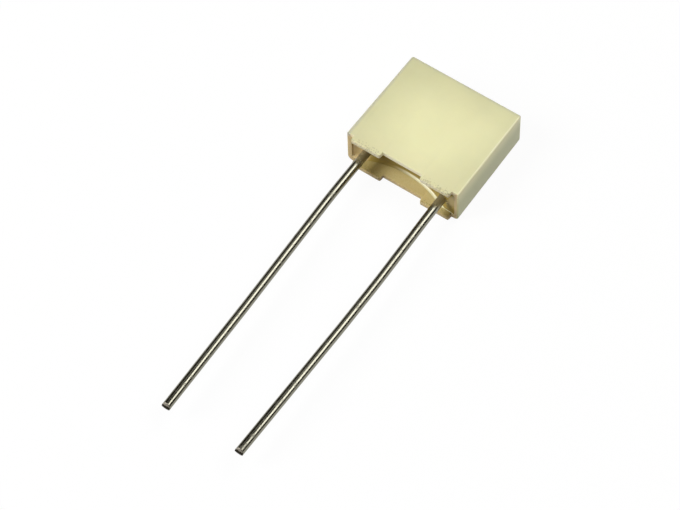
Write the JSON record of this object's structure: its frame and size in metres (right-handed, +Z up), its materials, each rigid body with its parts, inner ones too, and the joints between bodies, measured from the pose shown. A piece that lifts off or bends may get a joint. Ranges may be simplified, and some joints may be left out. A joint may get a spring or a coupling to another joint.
{
  "type": "polyester film capacitor",
  "caption": "Small box-shaped polyester film capacitor with a plain cream case, resin-filled open end, stand-off feet and long straight wire leads.",
  "frame": {"origin": "midway between the two leads where they cross the plane of the four feet, which is the plane of the board", "axes": "the part lies on its back face: +X from the left lead to the right lead, +Y from the feet to the closed end of the case, +Z up out of the plain front face; the leads run along -Y, rising half a degree because the back wall is drafted"},
  "size_m": [0.0072, 0.0247, 0.0024],
  "materials": {
    "case_plastic": "satin",
    "potting_resin": "glossy",
    "metallised_film": "satin",
    "sprayed_metal": "matte",
    "tinned_wire": "bright"
  },
  "bodies": {
    "root": {"case": "case_plastic", "resin_fill": "potting_resin", "film_winding": "metallised_film", "contact_layer_left": "sprayed_metal", "contact_layer_right": "sprayed_metal", "lead_left": "tinned_wire", "lead_right": "tinned_wire"}
  },
  "joints": []
}
